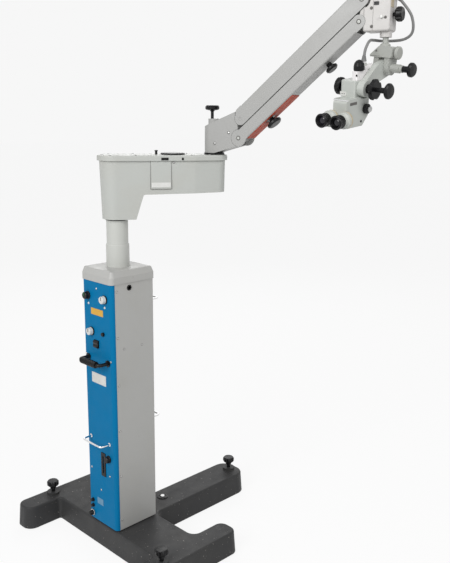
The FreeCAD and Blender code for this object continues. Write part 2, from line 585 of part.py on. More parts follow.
def edge_strip(reach, side, edge, inwards, radius=5.0):
    """What a rounded long edge of a link leaves out."""
    near, far = sorted((side * (ARM_SIDE - radius), side * (ARM_SIDE + 1)))
    low, high = sorted((edge - inwards, edge + inwards * radius))
    strip = block(reach[0], reach[1], near, far, low, high)
    middle = (side * (ARM_SIDE - radius), edge + inwards * radius)
    return strip.cut(rod((reach[0] - 1, *middle), (reach[1] + 1, *middle), radius))


def channel(corners, keep_x, pocket, ends):
    """Hollow link: rounded plates, joined by a wall over keep_x, with bosses round the pins."""
    body = side_slab(corners, -ARM_SIDE, ARM_SIDE)
    for x, radius in ends:
        body = body.fuse(across((x, 0), radius, -ARM_SIDE, ARM_SIDE))
    body = body.removeSplitter()
    for side in (-1, 1):
        body = body.cut(edge_strip(keep_x, side, pocket["edge"], -1 if pocket["edge"] > 0 else 1))
    half = ARM_SIDE - WALL
    body = body.cut(block(-60, LINK_LENGTH + 60, -half, half, pocket["low"], pocket["high"]))
    for x0, x1 in ((-60, keep_x[0]), (keep_x[1], LINK_LENGTH + 60)):
        body = body.cut(block(x0, x1, -half, half, -60, 60))
    for x, radius in ends:
        for y0, y1 in ((TONGUE_HALF + 0.5, half + 0.5), (-half - 0.5, -TONGUE_HALF - 0.5)):
            body = body.fuse(across((x, 0), 12, y0, y1))
        body = body.cut(across((x, 0), PIN_RADIUS + RUN, -ARM_SIDE - 1, ARM_SIDE + 1))
    return body.removeSplitter()


ARM_KNOBS = {"arm_knob_rear": (116, 24), "arm_knob_front": (361, 19)}
ARM_KNOB_STEM = 5.0


def lower_link():
    far = LINK_LENGTH
    corners = [(0, -LOWER_DOWN, 0), (far, -LOWER_DOWN, 0), (far, LOWER_UP, 0), (0, LOWER_UP, 0)]
    body = channel(corners, (30, far - 24), {"low": WALL - LOWER_DOWN, "high": 60, "edge": -LOWER_DOWN},
                   ((0, LOWER_END), (far, LOWER_HEAD_END)))
    for x, radius in ARM_KNOBS.values():
        body = body.fuse(upright(x, 0, -LOWER_DOWN, -6, 11))
        body = body.cut(upright(x, 0, -LOWER_DOWN - 1, -5, ARM_KNOB_STEM + RUN))
    return link_placed(body, LOWER_PIVOT)


def upper_link():
    far = LINK_LENGTH
    corners = [(0, -UPPER_DOWN, 0), (far, -UPPER_DOWN, 0), (far + 18, 0, 0), (far + 18, UPPER_UP, 14),
               (4, UPPER_UP, 14), (-16, 8, 0)]
    body = channel(corners, (26, far - 26), {"low": -60, "high": UPPER_UP - WALL, "edge": UPPER_UP},
                   ((0, UPPER_END), (far, UPPER_END)))
    return link_placed(body, UPPER_PIVOT)


def arm_knob(x, radius):
    top = -LOWER_DOWN
    knob = turned([(0, top - 23), (radius - 4, top - 23), (radius, top - 19), (radius, top - 14), (radius - 5, top - 11),
                   (9, top - 8), (8, top - AIR), (ARM_KNOB_STEM, top - AIR), (ARM_KNOB_STEM, -8), (0, -8)],
                  (x, 0, 0), (0, 0, 1))
    return link_placed(knob, LOWER_PIVOT)


def balance_spring():
    """Wound spring on its rod, held by two saddles on the floor of the lower link."""
    profile, start, pitch = [(6, 168)], 168, 8
    for i in range(14):
        x = start + i * pitch
        profile += [(9.5, x), (12.5, x + pitch / 2)]
    end = start + 14 * pitch
    profile += [(9.5, end), (6, end)]
    coil = turned(profile, (0, 0, 1), (1, 0, 0))
    return link_placed(coil, LOWER_PIVOT)


def spring_rod():
    body = rod((150, 0, 1), (310, 0, 1), 6)
    for x in (150, 310):
        body = body.fuse(block(x - 7, x + 7, -14, 14, WALL - LOWER_DOWN, 10))
    return link_placed(body, LOWER_PIVOT)


def head_block():
    body = side_slab([(HEAD_LEFT, HEAD_BOTTOM, 6), (HEAD_RIGHT, HEAD_BOTTOM, 8), (HEAD_RIGHT, HEAD_TOP, 12),
                      (HEAD_LEFT + 4, HEAD_TOP, 8), (HEAD_LEFT, HEAD_TOP - 34, 0)], -ARM_SIDE, ARM_SIDE)
    body = body.makeFillet(5, [e for e in body.Edges
                               if e.BoundBox.ZLength > 80 and e.BoundBox.XMin > HEAD_RIGHT - 0.1])
    for spot, radius in ((LOWER_FAR, LOWER_HEAD_END), (UPPER_FAR, UPPER_TIP)):
        body = body.cut(across(spot, radius + 0.8, -ARM_SIDE - 1, ARM_SIDE + 1))
    front = [(-60, -UPPER_DOWN - 1, 0), (0, -UPPER_DOWN - 1, 0), (20, 0, 0), (20, UPPER_UP + 1, 0),
             (-60, UPPER_UP + 1, 0)]
    body = body.cut(link_room(front, UPPER_FAR, (0, LIFT_UP)))
    ux, uz = UPPER_FAR
    body = body.cut(side_slab([(ux - 30, uz, 0), (ux, uz, 0), (ux + 24, uz + 8, 0), (ux + 26, uz + 40, 0),
                               (ux - 30, uz + 40, 0)], -ARM_SIDE - 1, ARM_SIDE + 1))
    for spot in (LOWER_FAR, UPPER_FAR):
        x, z = spot
        body = body.fuse(side_slab([(x, z - 12, 0), (x + 32, z - 12, 0), (x + 32, z + 12, 0), (x, z + 12, 0)],
                                   -TONGUE_HALF, TONGUE_HALF))
        body = body.fuse(across(spot, 12, -TONGUE_HALF, TONGUE_HALF))
        body = body.fuse(across(spot, PIN_RADIUS, -ARM_SIDE + 1, ARM_SIDE - 1))
    web_half = ARM_SIDE - WALL - 0.6
    lx, lz = LOWER_FAR
    body = body.fuse(side_slab([(lx, lz + 17, 0), (lx + 16, lz + 14, 0), (lx + 16, uz - 20, 0), (lx + 2, uz - 31, 0)],
                               -web_half, web_half))
    body = body.fuse(upright(HANG_REACH, 0, HEAD_BOTTOM - 15, HEAD_BOTTOM + 1, 17))
    body = body.cut(upright(HANG_REACH, 0, HEAD_BOTTOM - 16, HEAD_TOP - 30, HANG_PIN + RUN))
    body = body.cut(rod((HANG_REACH + 4, 0, HEAD_KNOB_Z), (HEAD_RIGHT + 1, 0, HEAD_KNOB_Z), 5 + RUN))
    body = body.fuse(rod((HEAD_RIGHT - 6, 12, GLAND_Z + 14), (HEAD_RIGHT + 3, 18.5, GLAND_Z), 9))
    return body.removeSplitter()


def head_knob():
    knob = star_knob((HEAD_RIGHT + 8, 0, HEAD_KNOB_Z), (1, 0, 0), HEAD_KNOB_RADIUS, 20, 6)
    return knob.fuse(rod((HANG_REACH + HANG_PIN + 4.5, 0, HEAD_KNOB_Z), (HEAD_RIGHT + 10, 0, HEAD_KNOB_Z), 5))


# Microscope


def hang_point():
    turn = math.radians(ARM_TURN)
    reach = math.radians(SPRING_TURN)
    return (ARM_LENGTH * math.cos(turn) + HANG_REACH * math.cos(reach),
            ARM_LENGTH * math.sin(turn) + HANG_REACH * math.sin(reach))


def coupling():
    """Hanging pin, the block under it and the two lugs with the tilt axle."""
    low = TILT_HEIGHT + 27
    base = TILT_HEIGHT
    body = side_slab([(-38, low, 4), (34, low, 6), (34, base + 58, 8), (-9, base + 59, 6), (-38, base + 33, 4)], -24, 24)
    lugs = []
    for x0, x1 in ((-26, CARRIER_LEFT - AIR), (CARRIER_RIGHT + AIR, 26)):
        lug = cross_slab([(-20, base, 0), (20, base, 0), (20, low + 4, 0), (-20, low + 4, 0)], x0, x1)
        lugs.append(lug.fuse(rod((x0, 0, base), (x1, 0, base), 20)))
    body = body.fuse(lugs[0]).fuse(lugs[1])
    body = body.fuse(rod((-26, 0, base), (54, 0, base), 8))
    body = body.fuse(rod((25, 0, base), (54, 0, base), 12)).fuse(rod((53, 0, base), (63, 0, base), 10))
    body = body.cut(rod((10, 0, base), (64, 0, base), 4 + RUN).common(block(40, 64, -30, 30, base - 30, base + 30)))
    body = body.cut(rod((30, 0, base + 42), (36, 0, base + 42), 5 + RUN))
    body.rotate(V(0, 0, TILT_HEIGHT), V(0, 1, 0), SCOPE_ROLL)
    body = body.fuse(turned([(0, base + 50), (HANG_PIN, base + 50), (HANG_PIN, HEAD_TOP - 34), (0, HEAD_TOP - 34)],
                            (0, 0, 0), (0, 0, 1)))
    body = body.fuse(turned([(0, base + 48), (15, base + 48), (15, base + 62), (11, base + 66), (0, base + 66)],
                            (0, 0, 0), (0, 0, 1)))
    return body.removeSplitter()


def rolled(shape):
    shape.rotate(V(0, 0, TILT_HEIGHT), V(0, 1, 0), SCOPE_ROLL)
    return shape


def coupling_clamp():
    z = TILT_HEIGHT + 42
    return rolled(turned([(0, -3), (5, -3), (5, AIR), (16, AIR), (18, 2), (18, 9), (15, 11), (0, 11)],
                         (34, 0, z), (1, 0, 0)))


def tilt_knob():
    return rolled(turned([(0, -22), (4, -22), (4, AIR), (9, AIR), (9, 20), (13, 22), (20, 24), (20, 30),
                          (17, 34), (0, 35)], (63, 0, TILT_HEIGHT), (1, 0, 0)))


def scope_placed(shape):
    """Turns a microscope piece, drawn on the tilt axis, by its pitch and roll."""
    shape.rotate(V(0, 0, 0), V(1, 0, 0), SCOPE_PITCH)
    shape.rotate(V(0, 0, 0), V(0, 1, 0), SCOPE_ROLL)
    shape.translate(V(0, 0, TILT_HEIGHT))
    return shape


def shaft_rod(x0, x1, radius):
    return rod((x0, SHAFT_Y, SHAFT_Z), (x1, SHAFT_Y, SHAFT_Z), radius)


def carrier_arm():
    """Curved plate from the tilt axle down to the round boss on the changer shaft."""
    plate = cross_slab([(24, 8, 12), (-4, 24, 16), (-40, 16, 40), (-118, SHAFT_Z + 6, 12), (-112, SHAFT_Z - 22, 20),
                        (-76, SHAFT_Z - 18, 14), (-40, -36, 30), (22, -20, 16)], CARRIER_LEFT, CARRIER_RIGHT)
    plate = plate.fuse(rod((CARRIER_LEFT, 0, 0), (CARRIER_RIGHT, 0, 0), 24))
    plate = plate.fuse(shaft_rod(CARRIER_LEFT, CARRIER_RIGHT + 4, 23))
    plate = plate.cut(rod((CARRIER_LEFT - 1, 0, 0), (CARRIER_RIGHT + 1, 0, 0), 8 + RUN))
    plate = plate.cut(shaft_rod(CARRIER_LEFT - 1, CARRIER_RIGHT + 5, 11 + RUN))
    return scope_placed(plate.removeSplitter())


BODY_LEFT, BODY_RIGHT = -60.0, CARRIER_LEFT - AIR
BODY_LOW, BODY_HIGH = -69.0, -24.0


def changer_body():
    """Body with the magnification drum, and the hollow trunnion that the carrier turns on."""
    body = prism([(BODY_LEFT, SHAFT_Y - 31, 9), (BODY_RIGHT, SHAFT_Y - 31, 4), (BODY_RIGHT, SHAFT_Y + 31, 4),
                  (BODY_LEFT, SHAFT_Y + 31, 9)], BODY_LOW, BODY_HIGH)
    body = softened(body, 3, flat_at(BODY_HIGH))
    body = body.fuse(shaft_rod(BODY_LEFT - 5, BODY_LEFT + 1, 15)).fuse(shaft_rod(BODY_RIGHT - 1, CARRIER_RIGHT + 5, 11))
    body = body.cut(shaft_rod(BODY_LEFT - 6, CARRIER_RIGHT + 6, SHAFT_RADIUS + RUN))
    body = body.cut(shaft_rod(BODY_LEFT + 8, BODY_RIGHT - 8, 19 + 0.3))
    return scope_placed(body)


def changer_shaft():
    """Drum, shaft, the star knob on its left end and the disc knob on its right end."""
    shaft = shaft_rod(-74, 80, SHAFT_RADIUS)
    shaft = shaft.fuse(shaft_rod(BODY_LEFT + 9, BODY_RIGHT - 9, 19))
    for y in (-9, 9):
        shaft = shaft.cut(rod((-36, SHAFT_Y + y, SHAFT_Z - 30), (-36, SHAFT_Y + y, SHAFT_Z + 30), 5.5))
    shaft = shaft.fuse(star_knob((-91, SHAFT_Y, SHAFT_Z), (1, 0, 0), 24.5, 18))
    disc = turned([(0, 58), (8, 58), (8, 73), (11, 76), (19, 77), (21.5, 79.5), (21.5, 84), (18, 88), (0, 89)],
                  (0, SHAFT_Y, SHAFT_Z), (1, 0, 0))
    return scope_placed(shaft.fuse(disc).removeSplitter())


def star_clamp():
    knob = star_knob((29, SHAFT_Y, SHAFT_Z), (1, 0, 0), 29, 13, 5, 11)
    knob = knob.fuse(shaft_rod(CARRIER_RIGHT + 5 + AIR, 30, 13))
    return scope_placed(knob.cut(shaft_rod(0, 60, SHAFT_RADIUS + RUN)))


def light_housing():
    """Lamp box on the changer body, with the limb that the light cable ends in."""
    rear = SHAFT_Y + 31 - AIR
    body = prism([(-29, -114, 5), (BODY_RIGHT - 1, -114, 3), (BODY_RIGHT - 1, rear, 3), (-29, rear, 3)], BODY_HIGH, 1)
    body = body.fuse(rod((-19, -79, 6), (-19, -38, 6), 9.5))
    body = body.fuse(upright(-19, -73, 6, 24, 6.5))
    body = body.cut(upright(-19, -95, -10, 2, 5 + RUN))
    return scope_placed(body.removeSplitter())


def lamp_knob():
    return scope_placed(turned([(0, -10), (5, -10), (5, AIR), (14, AIR), (15, 3), (15, 13), (13, 21), (9, 26),
                                (4, 29), (0, 30)], (-19, -95, 1), (0, 0, 1)))


def objective():
    y = SHAFT_Y + 31
    return scope_placed(turned([(0, 0), (27, 0), (27, 8), (24.5, 9), (24.5, 24), (24, 25), (22, 25), (22, 12), (0, 12)],
                               (-36, y, SHAFT_Z), (0, 1, 0)))


BINO_LEFT, BINO_RIGHT, BINO_FRONT, BINO_REAR = -46.0, 4.0, -174.0, -70.0
BINO_TOP = BODY_LOW - 4
BOSS_SWEEP = 28.5                    # radius that the carrier needs round the shaft over the tilt


def bino_body():
    """Binocular head: prism block, dovetail plate and the two slide bores for the eye tubes."""
    half = (BINO_RIGHT - BINO_LEFT) / 2
    middle = (BINO_RIGHT + BINO_LEFT) / 2
    body = cross_slab([(BINO_FRONT, EYE_Z - 26, 6), (BINO_REAR - 28, EYE_Z - 28, 10), (BINO_REAR, EYE_Z, 12),
                       (BINO_REAR, BINO_TOP, 3), (BINO_FRONT, BINO_TOP, 6)], BINO_LEFT + 2, BINO_RIGHT - 2)
    plate = prism([(middle - half - 5, BINO_FRONT + 8, 8), (middle + half - 2, BINO_FRONT + 8, 8),
                   (middle + half - 2, BINO_REAR, 3), (middle - half - 5, BINO_REAR, 3)], BINO_TOP - 1, BODY_LOW)
    body = body.fuse(plate)
    body = body.cut(shaft_rod(CARRIER_LEFT - 2 * AIR, BINO_RIGHT + 9, BOSS_SWEEP))
    body = body.cut(block(middle - 60, middle + 60, BINO_FRONT - 1, BINO_FRONT + 8.5, EYE_Z - 8, EYE_Z + 8))
    body = body.cut(rod((BINO_RIGHT - 10, -86, -103), (BINO_RIGHT + 1, -86, -103), 4 + RUN))
    return scope_placed(body.removeSplitter())


def eye_tube(side):
    """Drum and tube of one eye, with the tongue that slides in the front of the prism block."""
    x = EYE_MIDDLE + side * EYE_HALF
    back = BINO_FRONT - AIR
    drum = turned([(0, 0), (21, 0), (23, 2), (23, 15), (17, 18), (16, EYE_TUBE), (0, EYE_TUBE)],
                  (x, back, EYE_Z), (0, -1, 0))
    tongue = x - side * 11
    drum = drum.fuse(block(tongue - 8, tongue + 8, back - 1, BINO_FRONT + 8, EYE_Z - 8 + RUN, EYE_Z + 8 - RUN))
    return scope_placed(drum.removeSplitter())


def eyepiece(side):
    x = EYE_MIDDLE + side * EYE_HALF
    return scope_placed(turned([(0, 0), (10, 0), (17, 0.6), (18.5, 3), (18.5, 17), (19.2, 19), (19.8, 25),
                                (18.5, 27), (14.5, 27), (11, 20), (0, 20)],
                               (x, BINO_FRONT - EYE_TUBE - 2 * AIR, EYE_Z), (0, -1, 0)))


def pd_knob():
    return scope_placed(turned([(0, -8), (4, -8), (4, AIR), (13, AIR), (14, 2), (14, 10), (9, 12), (9, 15), (0, 15)],
                               (BINO_RIGHT - 2, -86, -103), (1, 0, 0)))


# X and Y from the hanging pin, Z over the floor
CABLE_POINTS = [(-17.5, -76.0, 1641.8), (-14.6, -80.1, 1665), (-13, -70, 1686), (-22, -45, 1700),
                (-35, -10, 1703), (-34, 32, 1703), (-14, 58, 1704), (17, 69, 1706), (46, 66, 1720),
                (52, 58, 1750), (43, 48, 1784), (16.4, 23.9, 1819.5)]


def light_cable():
    """Light lead from the limb round the hanging pin to the gland on the head."""
    bends = []
    for i in range(1, len(CABLE_POINTS) - 1):
        before, here, after = (V(*CABLE_POINTS[i + k]) for k in (-1, 0, 1))
        turn = (here - before).getAngle(after - here)
        run = min((here - before).Length, (after - here).Length)
        bends.append(0.45 * run / math.tan(turn / 2))
    return bent_wire(CABLE_POINTS, bends, CABLE_RADIUS)


# Placing and saving


def on_first_arm(shape):
    shape.rotate(V(0, 0, 0), V(0, 0, 1), ARM_TURN)
    return shape


def on_spring_arm(shape):
    turn = math.radians(ARM_TURN)
    shape.rotate(V(0, 0, 0), V(0, 0, 1), SPRING_TURN)
    shape.translate(V(ARM_LENGTH * math.cos(turn), ARM_LENGTH * math.sin(turn), 0))
    return shape


def on_pin(shape):
    shape.translate(V(*hang_point(), 0))
    return shape


def main():
    save("base_casting", base_casting())
    for name, (x, y) in CASTOR_SPOTS.items():
        save("castor_fork_" + name, castor_fork(x, y))
        save("castor_wheel_" + name, castor_wheel(x, y))
    for name, (x, y) in LOCK_SPOTS.items():
        save("lock_screw_" + name, lock_screw(x, y))
    for maker in (column_mast, column_casing, front_panel, column_cap, guide_collar, gas_spring_cylinder,
                  power_unit, upper_handle, mains_inlet, slot_plate, push_button, rocker_switch,
                  lift_tube, gas_spring_rod):
        save(maker.__name__, maker())
    save("wire_handles", *wire_handles())
    for name, (x, z) in PANEL_KNOBS.items():
        save(name, panel_knob(x, z))
    save("lift_clamp_knob", panel_knob(*LIFT_KNOB_SPOT, LIFT_KNOB_RADIUS, 14))
    for maker in (first_arm, first_arm_lid, elbow_bearing):
        save(maker.__name__, on_first_arm(maker()))
    save("lid_cap", *[on_first_arm(piece) for piece in lid_cap()])
    for maker in (elbow_bracket, elbow_knob, lower_link, upper_link, balance_spring, spring_rod, head_block,
                  head_knob):
        save(maker.__name__, on_spring_arm(maker()))
    for name, (x, radius) in ARM_KNOBS.items():
        save(name, on_spring_arm(arm_knob(x, radius)))
    for maker in (coupling, coupling_clamp, tilt_knob, carrier_arm, changer_body, changer_shaft, star_clamp,
                  light_housing, lamp_knob, objective, bino_body, pd_knob, light_cable):
        save(maker.__name__, on_pin(maker()))
    for name, side in (("left", -1), ("right", 1)):
        save("eye_tube_" + name, on_pin(eye_tube(side)))
        save("eyepiece_" + name, on_pin(eyepiece(side)))


main()
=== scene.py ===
import bpy
import bmesh
import math
from mathutils import Matrix, Vector


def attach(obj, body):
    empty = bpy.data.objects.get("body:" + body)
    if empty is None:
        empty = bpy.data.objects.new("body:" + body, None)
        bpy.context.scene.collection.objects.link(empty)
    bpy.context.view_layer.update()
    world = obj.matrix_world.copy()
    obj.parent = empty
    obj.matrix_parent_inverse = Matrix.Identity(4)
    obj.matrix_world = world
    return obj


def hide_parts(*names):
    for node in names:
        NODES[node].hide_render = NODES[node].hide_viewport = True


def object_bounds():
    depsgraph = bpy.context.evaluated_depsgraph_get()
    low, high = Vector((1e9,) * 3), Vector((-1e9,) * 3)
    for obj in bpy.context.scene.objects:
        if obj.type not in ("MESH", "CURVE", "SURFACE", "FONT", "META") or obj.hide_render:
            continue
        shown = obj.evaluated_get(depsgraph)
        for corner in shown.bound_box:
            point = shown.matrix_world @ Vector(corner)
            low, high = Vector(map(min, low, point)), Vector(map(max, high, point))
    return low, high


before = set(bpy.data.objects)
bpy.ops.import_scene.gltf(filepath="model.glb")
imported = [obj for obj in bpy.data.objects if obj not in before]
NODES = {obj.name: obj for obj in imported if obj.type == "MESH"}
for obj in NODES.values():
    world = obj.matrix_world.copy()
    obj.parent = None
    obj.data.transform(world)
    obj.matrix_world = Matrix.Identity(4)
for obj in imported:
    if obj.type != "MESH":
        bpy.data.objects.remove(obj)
CAD_LOW, CAD_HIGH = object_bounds()
MM = 0.001

# Layout shared with the CAD part, in millimetres
COLUMN_HALF, COLUMN_FRONT = 80.0, -90.0
ARM_TURN, ARM_LENGTH, SPRING_TURN, HANG_REACH = 57.0, 323.0, 15.0, 563.0
ARM_SIDE, LINK_RISE, LINK_LENGTH = 31.0, 40.87, 509.0
LOWER_PIVOT, UPPER_PIVOT = (107.0, 1419.0), (113.0, 1479.0)
TILT_HEIGHT, SCOPE_ROLL, SCOPE_PITCH = 1627.0, 6.2, 9.0
SHAFT_Y, SHAFT_Z, EYE_MIDDLE, EYE_HALF, EYE_Z = -93.0, -46.5, -21.0, 25.0, -121.5
BINO_FRONT, BINO_RIGHT, EYE_FACE = -174.0, 4.0, -225.8
LID_TOP, ARM_NEAR = 1363, -53.6
PANEL_KNOBS = {"panel_knob_left": (-48, 906), "panel_knob_right": (44, 906), "panel_knob_middle": (-32, 786)}
AHEAD, BACK, RIGHT, LEFT, UP = (0, -1, 0), (0, 1, 0), (1, 0, 0), (-1, 0, 0), (0, 0, 1)


# Places: each gives the matrix that carries a piece drawn in its own frame into the frame of the whole object

def turn(degrees, axis):
    return Matrix.Rotation(math.radians(degrees), 4, axis)


def shift(x, y, z):
    return Matrix.Translation(Vector((x, y, z)) * MM)


STAND = Matrix.Identity(4)
FIRST_ARM = turn(ARM_TURN, "Z")
ELBOW_POINT = FIRST_ARM @ Vector((ARM_LENGTH * MM, 0, 0))
SPRING_ARM = Matrix.Translation(ELBOW_POINT) @ turn(SPRING_TURN, "Z")
LOWER_LINK = SPRING_ARM @ shift(LOWER_PIVOT[0], 0, LOWER_PIVOT[1]) @ turn(-LINK_RISE, "Y")
UPPER_LINK = SPRING_ARM @ shift(UPPER_PIVOT[0], 0, UPPER_PIVOT[1]) @ turn(-LINK_RISE, "Y")
HANG_POINT = SPRING_ARM @ Vector((HANG_REACH * MM, 0, 0))
COUPLING = Matrix.Translation(HANG_POINT) @ shift(0, 0, TILT_HEIGHT) @ turn(SCOPE_ROLL, "Y")
SCOPE = COUPLING @ turn(SCOPE_PITCH, "X")


# Materials

def group(name, inputs, outputs):
    tree = bpy.data.node_groups.new(name, "ShaderNodeTree")
    for label, kind, value in inputs:
        socket = tree.interface.new_socket(label, in_out="INPUT", socket_type=kind)
        socket.default_value = value
    for label, kind in outputs:
        tree.interface.new_socket(label, in_out="OUTPUT", socket_type=kind)
    return tree, tree.nodes.new("NodeGroupInput"), tree.nodes.new("NodeGroupOutput")


def mixed(tree, factor, first, second):
    node = tree.nodes.new("ShaderNodeMix")
    node.data_type = "RGBA"
    for socket, value in ((node.inputs[0], factor), (node.inputs[6], first), (node.inputs[7], second)):
        if isinstance(value, bpy.types.NodeSocket):
            tree.links.new(value, socket)
        else:
            socket.default_value = value
    return node.outputs[2]


def stepped(tree, value, low, high, to_low=0.0, to_high=1.0):
    node = tree.nodes.new("ShaderNodeMapRange")
    node.inputs["From Min"].default_value = low
    node.inputs["From Max"].default_value = high
    node.inputs["To Min"].default_value = to_low
    node.inputs["To Max"].default_value = to_high
    tree.links.new(value, node.inputs["Value"])
    return node.outputs["Result"]


def noise(tree, where, scale, detail=4.0):
    node = tree.nodes.new("ShaderNodeTexNoise")
    tree.links.new(where, node.inputs["Vector"])
    if isinstance(scale, bpy.types.NodeSocket):
        tree.links.new(scale, node.inputs["Scale"])
    else:
        node.inputs["Scale"].default_value = scale
    node.inputs["Detail"].default_value = detail
    return node.outputs["Fac"]


def paint_group():
    """Sprayed paint: orange peel, slow soiling and small marks in a second colour."""
    tree, start, end = group("Sprayed paint", [
        ("Where", "NodeSocketVector", (0, 0, 0)), ("Paint", "NodeSocketColor", (0.5, 0.5, 0.5, 1)),
        ("Soil", "NodeSocketColor", (0.3, 0.28, 0.24, 1)), ("Mark", "NodeSocketColor", (0.7, 0.7, 0.7, 1)),
        ("Marks from", "NodeSocketFloat", 0.75), ("Grain", "NodeSocketFloat", 900.0),
        ("Relief", "NodeSocketFloat", 0.05)],
        [("Color", "NodeSocketColor"), ("Roughness", "NodeSocketFloat"), ("Normal", "NodeSocketVector")])
    where = start.outputs["Where"]
    soil = stepped(tree, noise(tree, where, 9.0, 6.0), 0.45, 0.8, 0.0, 0.28)
    colour = mixed(tree, soil, start.outputs["Paint"], start.outputs["Soil"])
    spots = noise(tree, where, 130.0, 2.0)
    over = tree.nodes.new("ShaderNodeMath")
    over.operation = "SUBTRACT"
    tree.links.new(spots, over.inputs[0])
    tree.links.new(start.outputs["Marks from"], over.inputs[1])
    colour = mixed(tree, stepped(tree, over.outputs[0], 0.0, 0.015), colour, start.outputs["Mark"])
    tree.links.new(colour, end.inputs["Color"])
    tree.links.new(stepped(tree, noise(tree, where, 30.0, 3.0), 0.3, 0.7, 0.34, 0.5), end.inputs["Roughness"])
    bump = tree.nodes.new("ShaderNodeBump")
    bump.inputs["Distance"].default_value = 0.0006
    tree.links.new(start.outputs["Relief"], bump.inputs["Strength"])
    tree.links.new(noise(tree, where, start.outputs["Grain"], 2.0), bump.inputs["Height"])
    tree.links.new(bump.outputs["Normal"], end.inputs["Normal"])
    return tree


def plain_group():
    """Moulded or turned stock: one colour with a faint change of shade and gloss."""
    tree, start, end = group("Even stock", [
        ("Where", "NodeSocketVector", (0, 0, 0)), ("Base", "NodeSocketColor", (0.5, 0.5, 0.5, 1)),
        ("Dull", "NodeSocketColor", (0.4, 0.4, 0.4, 1)), ("Gloss low", "NodeSocketFloat", 0.2),
        ("Gloss high", "NodeSocketFloat", 0.4)],
        [("Color", "NodeSocketColor"), ("Roughness", "NodeSocketFloat")])
    where = start.outputs["Where"]
    shade = noise(tree, where, 25.0, 5.0)
    dulled = stepped(tree, shade, 0.35, 0.75)
    tree.links.new(mixed(tree, dulled, start.outputs["Base"], start.outputs["Dull"]), end.inputs["Color"])
    node = tree.nodes.new("ShaderNodeMapRange")
    tree.links.new(noise(tree, where, 60.0, 3.0), node.inputs["Value"])
    node.inputs["From Min"].default_value = 0.3
    node.inputs["From Max"].default_value = 0.7
    tree.links.new(start.outputs["Gloss low"], node.inputs["To Min"])
    tree.links.new(start.outputs["Gloss high"], node.inputs["To Max"])
    tree.links.new(node.outputs["Result"], end.inputs["Roughness"])
    return tree


PAINT, STOCK = paint_group(), plain_group()


def material(name, tree, metallic=0.0, shine=0.5, **values):
    made = bpy.data.materials.new(name)
    made.use_nodes = True
    nodes, links = made.node_tree.nodes, made.node_tree.links
    shader = nodes["Principled BSDF"]
    shader.inputs["Metallic"].default_value = metallic
    shader.inputs["Specular IOR Level"].default_value = shine
    place = nodes.new("ShaderNodeTexCoord")
    effect = nodes.new("ShaderNodeGroup")
    effect.node_tree = tree
    links.new(place.outputs["Object"], effect.inputs["Where"])
    for label, value in values.items():
        effect.inputs[label.replace("_", " ")].default_value = value
    links.new(effect.outputs["Color"], shader.inputs["Base Color"])
    links.new(effect.outputs["Roughness"], shader.inputs["Roughness"])
    if "Normal" in effect.outputs:
        links.new(effect.outputs["Normal"], shader.inputs["Normal"])
    return made


def rgb(r, g, b):
    return (r, g, b, 1.0)


CASTING = material("Textured casting paint", PAINT, shine=0.12, Paint=rgb(0.052, 0.052, 0.053),
                   Soil=rgb(0.1, 0.097, 0.092), Mark=rgb(0.24, 0.23, 0.21), Marks_from=0.705,
                   Grain=450.0, Relief=0.6)
COVER = material("Warm grey cover paint", PAINT, Paint=rgb(0.475, 0.475, 0.46), Soil=rgb(0.4, 0.39, 0.35),
                 Mark=rgb(0.24, 0.23, 0.21), Marks_from=0.79)
TUBE_PAINT = material("Light grey tube paint", PAINT, Paint=rgb(0.57, 0.58, 0.55), Soil=rgb(0.49, 0.49, 0.45),
                      Mark=rgb(0.34, 0.34, 0.32), Marks_from=0.8)
ARM_PAINT = material("Green grey arm paint", PAINT, Paint=rgb(0.5, 0.515, 0.49), Soil=rgb(0.47, 0.44, 0.38),
                     Mark=rgb(0.24, 0.24, 0.22), Marks_from=0.79)
SPRING_PAINT = material("Neutral grey arm paint", PAINT, Paint=rgb(0.4, 0.4, 0.39),
                        Soil=rgb(0.34, 0.34, 0.32), Mark=rgb(0.22, 0.22, 0.21), Marks_from=0.79)
# The head block gets a lighter copy of the neutral grey arm paint: painted light, standing in for the
# stronger light that falls on the head.
LIT_HEAD_PAINT = material("Head paint lightened as painted light", PAINT, Paint=rgb(0.56, 0.545, 0.53),
                      Soil=rgb(0.49, 0.47, 0.43), Mark=rgb(0.45, 0.43, 0.4), Marks_from=0.79)
COUPLING_PAINT = material("Grey green coupling paint", PAINT, Paint=rgb(0.39, 0.4, 0.375),
                          Soil=rgb(0.36, 0.34, 0.28), Mark=rgb(0.2, 0.19, 0.17), Marks_from=0.8)
BLUE = material("Blue panel paint", PAINT, shine=0.06, Paint=rgb(0.002, 0.18, 0.4),
                Soil=rgb(0.012, 0.15, 0.3), Mark=rgb(0.03, 0.27, 0.48), Marks_from=0.79)
SCOPE_PAINT = material("Pale green grey paint", PAINT, Paint=rgb(0.51, 0.53, 0.5), Soil=rgb(0.43, 0.42, 0.36),
                       Mark=rgb(0.2, 0.2, 0.18), Marks_from=0.8)
LIGHT_PAINT = material("Pinkish white housing paint", PAINT, Paint=rgb(0.84, 0.815, 0.82),
                       Soil=rgb(0.66, 0.63, 0.6), Mark=rgb(0.45, 0.43, 0.4), Marks_from=0.8)
STEEL = material("Turned steel", STOCK, 1.0, Base=rgb(0.55, 0.55, 0.54), Dull=rgb(0.42, 0.42, 0.42),
                 Gloss_low=0.22, Gloss_high=0.42)
CHROME = material("Bright plating", STOCK, 1.0, Base=rgb(0.8, 0.8, 0.8), Dull=rgb(0.7, 0.7, 0.7),
                  Gloss_low=0.08, Gloss_high=0.16)
BRASS = material("Worn tan lacquer", STOCK, 0.0, Base=rgb(0.46, 0.38, 0.25), Dull=rgb(0.56, 0.5, 0.38),
                 Gloss_low=0.3, Gloss_high=0.5)
BLACK = material("Black moulding", STOCK, shine=0.22, Base=rgb(0.004, 0.004, 0.0045),
                 Dull=rgb(0.011, 0.011, 0.012), Gloss_low=0.16, Gloss_high=0.4)
